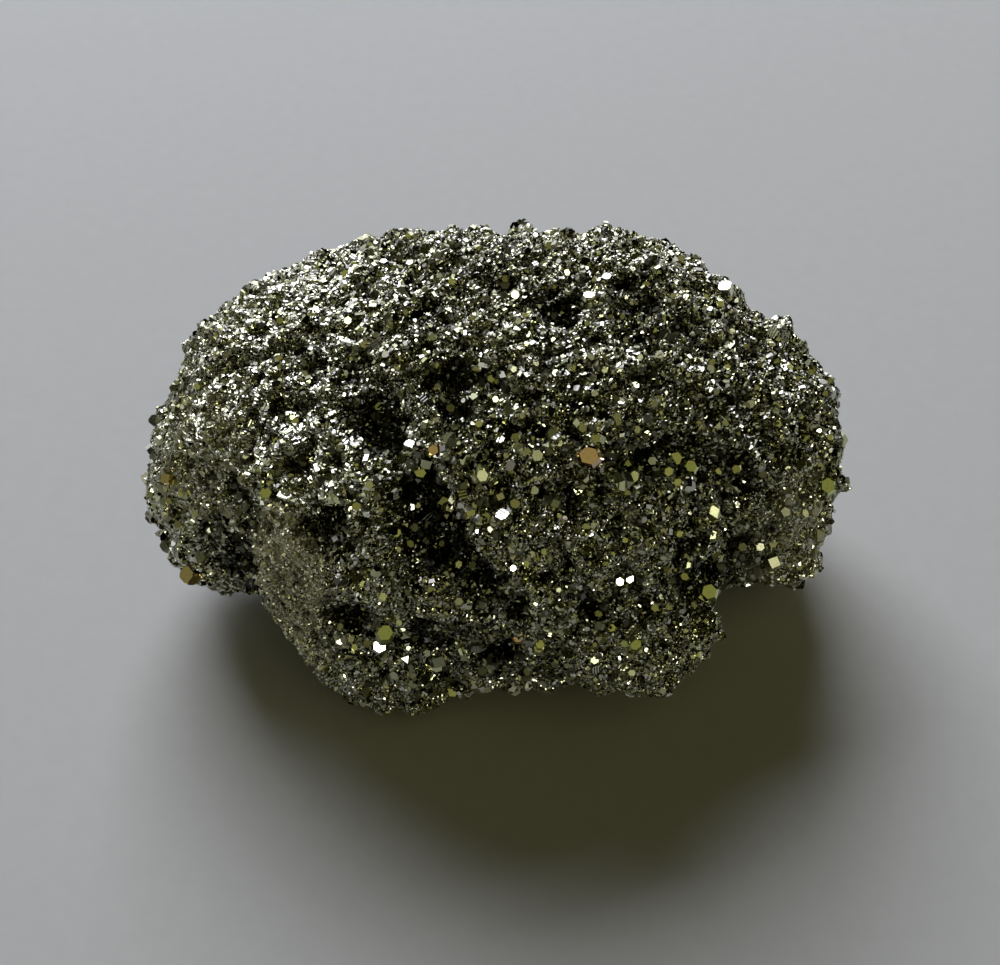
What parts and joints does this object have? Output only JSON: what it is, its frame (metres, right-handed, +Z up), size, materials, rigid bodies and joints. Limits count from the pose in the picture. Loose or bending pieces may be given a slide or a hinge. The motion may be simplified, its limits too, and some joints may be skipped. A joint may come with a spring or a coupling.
{
  "type": "pyrite specimen",
  "caption": "Loaf-shaped mineral specimen of fine pyrite crystals grown together, with rounded lobes, dark hollows and a flat broken base.",
  "frame": {"origin": "middle of the bounding box, on the flat broken base", "axes": "+X along the lump's length, -Y towards its front, +Z up"},
  "size_m": [0.088, 0.0606, 0.0487],
  "materials": {
    "pyrite": "metallic crystal facets, olive brass with grey and copper tarnish"
  },
  "bodies": {
    "root": {"pyrite_specimen": "pyrite"}
  },
  "joints": []
}
